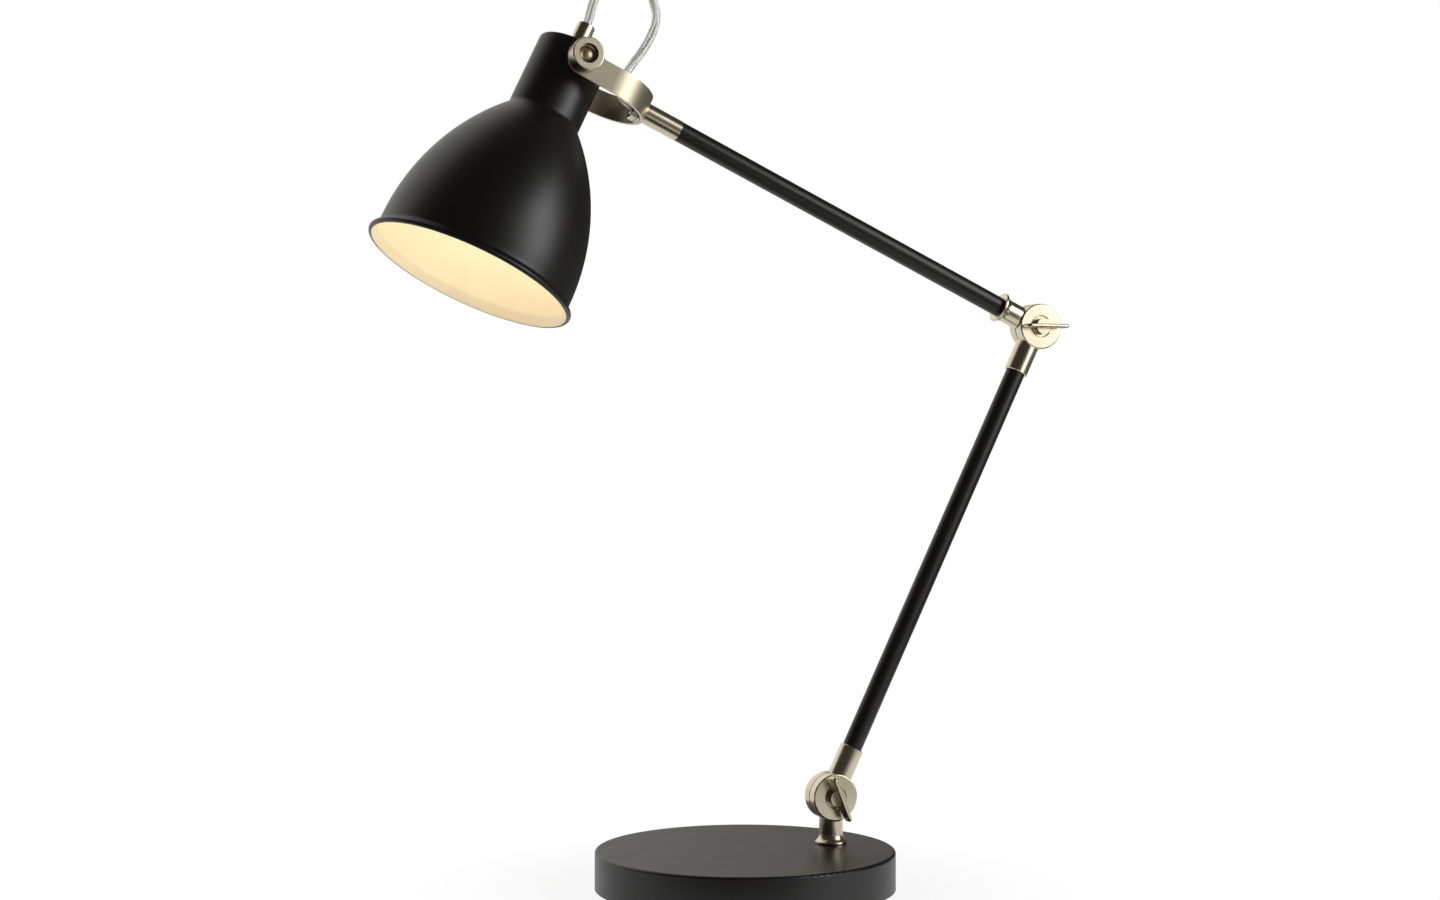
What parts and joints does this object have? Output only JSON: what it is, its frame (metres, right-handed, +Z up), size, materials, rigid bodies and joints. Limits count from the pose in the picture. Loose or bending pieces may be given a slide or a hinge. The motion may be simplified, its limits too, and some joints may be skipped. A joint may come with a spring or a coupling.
{
  "type": "desk lamp",
  "caption": "Desk lamp with a weighted round base, tube arms on wing-screw knuckles, a U-shaped yoke and a tilting bell shade fed by a clear cord loop.",
  "frame": {"origin": "centre of the round base's underside, on the table", "axes": "+Z up, +X from the base's centre towards the post, arms in the XZ plane, wing screws on the -Y side"},
  "size_m": [0.4391, 0.1816, 0.5462],
  "materials": {
    "black_paint": "satin black",
    "satin_brass": "satin antique brass",
    "polished_brass": "polished",
    "zinc": "zinc plated",
    "raw_steel": "plain sheet",
    "cast_iron": "as cast",
    "pad_rubber": "foam rubber sheet",
    "fibre": "fibre",
    "clear_cord": "clear",
    "flex": "clear",
    "black_plastic": "moulded",
    "holder_plastic": "moulded",
    "contact_brass": "pressed",
    "bulb_metal": "rolled",
    "bulb_glass": "opal"
  },
  "bodies": {
    "base": {"base_cover": "black_paint", "base_weight": "cast_iron", "base_plate": "raw_steel", "base_plate_screws": "zinc", "base_pad": "pad_rubber", "cord_gland": "black_plastic", "base_post": "satin_brass", "base_bolt": "zinc", "base_washer": "zinc", "base_nut": "zinc"},
    "lower_wing_screw": {"lower_wing_screw": "satin_brass"},
    "lower_arm": {"lower_ferrule": "satin_brass", "lower_friction_washer": "fibre", "lower_arm_tube": "black_paint", "lower_arm_flex": "flex", "elbow_ferrule": "satin_brass", "elbow_friction_washer": "fibre"},
    "upper_arm": {"elbow_stub": "satin_brass", "elbow_bolt": "zinc", "upper_arm_tube": "black_paint", "upper_arm_flex": "flex", "yoke_bush": "satin_brass", "yoke_bolt": "zinc", "yoke_washer": "zinc", "yoke_nut": "zinc"},
    "elbow_wing_screw": {"elbow_wing_screw": "satin_brass"},
    "yoke": {"yoke": "satin_brass", "head_cord": "clear_cord"},
    "shade": {"shade_neck": "black_paint", "shade_bell": "black_paint", "pivot_cups": "satin_brass", "pivot_screws": "polished_brass", "pivot_spacers": "zinc", "pivot_nuts": "zinc", "cord_grip": "satin_brass", "grip_nut": "satin_brass", "lampholder_cap": "holder_plastic", "lampholder_body": "holder_plastic", "lampholder_sleeve": "contact_brass", "lampholder_contact": "contact_brass", "bulb_cap": "bulb_metal", "bulb_glass": "bulb_glass"}
  },
  "joints": [
    {"name": "lower_arm_hinge", "type": "hinge", "parent": "base", "child": "lower_arm", "pos_m": [0.056, 0, 0.053], "axis": [0, 1, 0], "range_deg": [-50, 30]},
    {"name": "lower_wing_screw_turn", "type": "hinge", "parent": "base", "child": "lower_wing_screw", "pos_m": [0.056, 0, 0.053], "axis": [0, -1, 0], "range_deg": [0, 270]},
    {"name": "elbow_hinge", "type": "hinge", "parent": "lower_arm", "child": "upper_arm", "pos_m": [0.19628, 0, 0.34061], "axis": [0, 1, 0], "range_deg": [-25, 90]},
    {"name": "elbow_wing_screw_turn", "type": "hinge", "parent": "upper_arm", "child": "elbow_wing_screw", "pos_m": [0.19628, 0, 0.34061], "axis": [0, -1, 0], "range_deg": [0, 270]},
    {"name": "yoke_swivel", "type": "hinge", "parent": "upper_arm", "child": "yoke", "pos_m": [-0.11187, 0, 0.4843], "axis": [-0.9063, 0, 0.4226], "range_deg": [-65, 55]},
    {"name": "shade_tilt", "type": "hinge", "parent": "yoke", "child": "shade", "pos_m": [-0.11187, 0, 0.4843], "axis": [0.0368, -0.9962, 0.079], "range_deg": [-45, 40], "deforming": ["head_cord"]}
  ]
}
